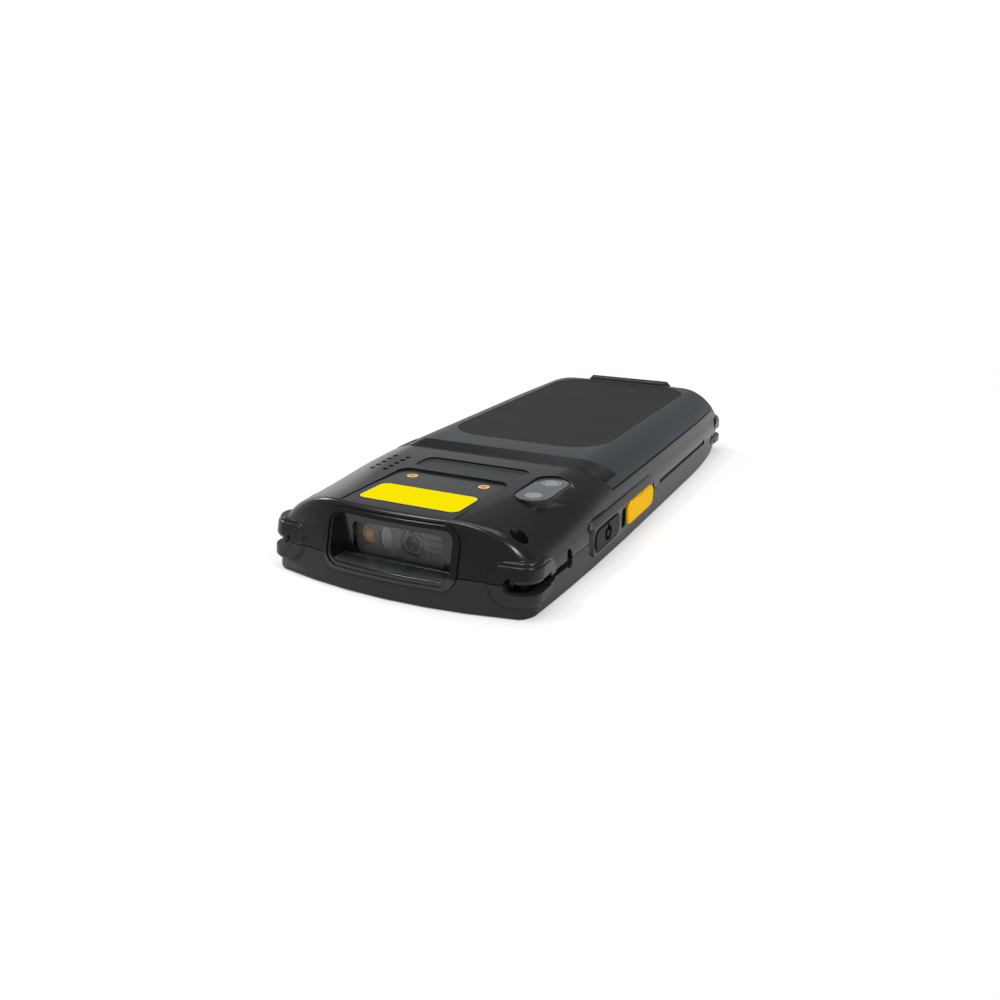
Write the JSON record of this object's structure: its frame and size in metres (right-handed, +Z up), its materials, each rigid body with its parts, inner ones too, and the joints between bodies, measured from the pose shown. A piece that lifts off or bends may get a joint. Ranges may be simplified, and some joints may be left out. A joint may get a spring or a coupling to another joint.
{
  "type": "portable barcode data terminal",
  "caption": "Rugged handheld barcode terminal: screen and keypad on the front, scan window in the head, side keys, lift-up battery door, hinged connector cover.",
  "frame": {"origin": "middle of the bottom of the bounding box: the terminal lies on its screen side, as it does when put down face first", "axes": "+Z up, away from the screen side to the rear face; -Y is the head with the scan window, +Y the tail with the connector; +X is the side with the power key"},
  "size_m": [0.0734, 0.1688, 0.022],
  "materials": {
    "housing_black": "fine moulded texture, satin",
    "door_plastic": "soft-touch moulded, blue-black sheen",
    "pad_rubber": "fine grip texture",
    "bezel_gloss": "smooth semi-gloss",
    "cover_plastic": "smooth satin",
    "pod_rubber": "satin moulded",
    "key_rubber": "soft satin",
    "front_key": "satin moulded",
    "orange_key": "satin moulded",
    "seal_rubber": "soft",
    "engine_black": "moulded",
    "battery_wrap": "film wrap",
    "circuit_board": "solder mask",
    "tinted_glass": "polished, smoke tint",
    "screen_glass": "polished black",
    "lens_glass": "coated",
    "clear_lens": "moulded clear",
    "amber_led": "clear dome over amber die",
    "yellow_label": "printed film",
    "grey_label": "printed film",
    "brass": "turned",
    "steel": "stamped",
    "dark_steel": "black zinc"
  },
  "bodies": {
    "housing": {"front_housing": "housing_black", "rear_housing": "housing_black", "scan_bezel": "bezel_gloss", "scan_window": "tinted_glass", "scan_engine": "engine_black", "imager_lens": "lens_glass", "illumination_lens": "clear_lens", "aimer_led": "amber_led", "head_label": "yellow_label", "rating_label": "grey_label", "threaded_inserts": "brass", "camera_window": "tinted_glass", "camera_module": "engine_black", "flash_led": "clear_lens", "speaker": "engine_black", "earpiece": "engine_black", "touch_lens": "screen_glass", "display_module": "steel", "main_board": "circuit_board", "keypad_board": "circuit_board", "key_domes": "steel", "battery_pack": "battery_wrap", "battery_contacts": "brass", "usb_socket": "steel", "dock_contacts": "brass", "key_pod_right": "pod_rubber", "key_pod_left": "pod_rubber", "side_switches": "steel", "housing_screws": "dark_steel", "housing_seal": "seal_rubber", "vibration_motor": "steel"},
    "door": {"battery_door": "door_plastic", "door_pad": "pad_rubber"},
    "tail_cover": {"connector_cover": "cover_plastic", "cover_pin": "steel"},
    "key_menu_body": {"key_menu": "front_key"},
    "key_scan_body": {"key_scan": "orange_key"},
    "key_back_body": {"key_back": "front_key"},
    "key_left_body": {"key_left": "front_key"},
    "key_up_body": {"key_up": "front_key"},
    "key_down_body": {"key_down": "front_key"},
    "key_right_body": {"key_right": "front_key"},
    "key_1_body": {"key_1": "front_key"},
    "key_2_body": {"key_2": "front_key"},
    "key_3_body": {"key_3": "front_key"},
    "key_4_body": {"key_4": "front_key"},
    "key_5_body": {"key_5": "front_key"},
    "key_6_body": {"key_6": "front_key"},
    "key_7_body": {"key_7": "front_key"},
    "key_8_body": {"key_8": "front_key"},
    "key_9_body": {"key_9": "front_key"},
    "key_star_body": {"key_star": "front_key"},
    "key_0_body": {"key_0": "front_key"},
    "key_hash_body": {"key_hash": "front_key"},
    "power_key_body": {"power_key": "key_rubber"},
    "scan_key_right_body": {"scan_key_right": "orange_key"},
    "scan_key_left_body": {"scan_key_left": "orange_key"},
    "volume_rocker_body": {"volume_rocker": "key_rubber"}
  },
  "joints": [
    {"name": "key_menu_press", "type": "slide", "parent": "housing", "child": "key_menu_body", "axis": [0, 0, 1], "range_m": [0, 0.0005], "stiffness_N_per_m": 3000},
    {"name": "key_scan_press", "type": "slide", "parent": "housing", "child": "key_scan_body", "axis": [0, 0, 1], "range_m": [0, 0.0005], "stiffness_N_per_m": 3000},
    {"name": "key_back_press", "type": "slide", "parent": "housing", "child": "key_back_body", "axis": [0, 0, 1], "range_m": [0, 0.0005], "stiffness_N_per_m": 3000},
    {"name": "key_left_press", "type": "slide", "parent": "housing", "child": "key_left_body", "axis": [0, 0, 1], "range_m": [0, 0.0005], "stiffness_N_per_m": 3000},
    {"name": "key_up_press", "type": "slide", "parent": "housing", "child": "key_up_body", "axis": [0, 0, 1], "range_m": [0, 0.0005], "stiffness_N_per_m": 3000},
    {"name": "key_down_press", "type": "slide", "parent": "housing", "child": "key_down_body", "axis": [0, 0, 1], "range_m": [0, 0.0005], "stiffness_N_per_m": 3000},
    {"name": "key_right_press", "type": "slide", "parent": "housing", "child": "key_right_body", "axis": [0, 0, 1], "range_m": [0, 0.0005], "stiffness_N_per_m": 3000},
    {"name": "key_1_press", "type": "slide", "parent": "housing", "child": "key_1_body", "axis": [0, 0, 1], "range_m": [0, 0.0005], "stiffness_N_per_m": 3000},
    {"name": "key_2_press", "type": "slide", "parent": "housing", "child": "key_2_body", "axis": [0, 0, 1], "range_m": [0, 0.0005], "stiffness_N_per_m": 3000},
    {"name": "key_3_press", "type": "slide", "parent": "housing", "child": "key_3_body", "axis": [0, 0, 1], "range_m": [0, 0.0005], "stiffness_N_per_m": 3000},
    {"name": "key_4_press", "type": "slide", "parent": "housing", "child": "key_4_body", "axis": [0, 0, 1], "range_m": [0, 0.0005], "stiffness_N_per_m": 3000},
    {"name": "key_5_press", "type": "slide", "parent": "housing", "child": "key_5_body", "axis": [0, 0, 1], "range_m": [0, 0.0005], "stiffness_N_per_m": 3000},
    {"name": "key_6_press", "type": "slide", "parent": "housing", "child": "key_6_body", "axis": [0, 0, 1], "range_m": [0, 0.0005], "stiffness_N_per_m": 3000},
    {"name": "key_7_press", "type": "slide", "parent": "housing", "child": "key_7_body", "axis": [0, 0, 1], "range_m": [0, 0.0005], "stiffness_N_per_m": 3000},
    {"name": "key_8_press", "type": "slide", "parent": "housing", "child": "key_8_body", "axis": [0, 0, 1], "range_m": [0, 0.0005], "stiffness_N_per_m": 3000},
    {"name": "key_9_press", "type": "slide", "parent": "housing", "child": "key_9_body", "axis": [0, 0, 1], "range_m": [0, 0.0005], "stiffness_N_per_m": 3000},
    {"name": "key_star_press", "type": "slide", "parent": "housing", "child": "key_star_body", "axis": [0, 0, 1], "range_m": [0, 0.0005], "stiffness_N_per_m": 3000},
    {"name": "key_0_press", "type": "slide", "parent": "housing", "child": "key_0_body", "axis": [0, 0, 1], "range_m": [0, 0.0005], "stiffness_N_per_m": 3000},
    {"name": "key_hash_press", "type": "slide", "parent": "housing", "child": "key_hash_body", "axis": [0, 0, 1], "range_m": [0, 0.0005], "stiffness_N_per_m": 3000},
    {"name": "power_key_press", "type": "slide", "parent": "housing", "child": "power_key_body", "axis": [-1, 0, 0], "range_m": [0, 0.0005], "stiffness_N_per_m": 3000},
    {"name": "scan_key_right_press", "type": "slide", "parent": "housing", "child": "scan_key_right_body", "axis": [-1, 0, 0], "range_m": [0, 0.0005], "stiffness_N_per_m": 3000},
    {"name": "scan_key_left_press", "type": "slide", "parent": "housing", "child": "scan_key_left_body", "axis": [1, 0, 0], "range_m": [0, 0.0005], "stiffness_N_per_m": 3000},
    {"name": "volume_rock", "type": "hinge", "parent": "housing", "child": "volume_rocker_body", "pos_m": [-0.0351, -0.0388, 0.00735], "axis": [0, 0, 1], "range_deg": [-3, 3], "stiffness_Nm_per_rad": 0.05},
    {"name": "door_lift", "type": "hinge", "parent": "housing", "child": "door", "pos_m": [0, -0.03295, 0.0204], "axis": [1, 0, 0], "range_deg": [0, 30]},
    {"name": "cover_swing", "type": "hinge", "parent": "housing", "child": "tail_cover", "pos_m": [0, 0.0815, 0.0054], "axis": [-1, 0, 0], "range_deg": [0, 95]}
  ]
}
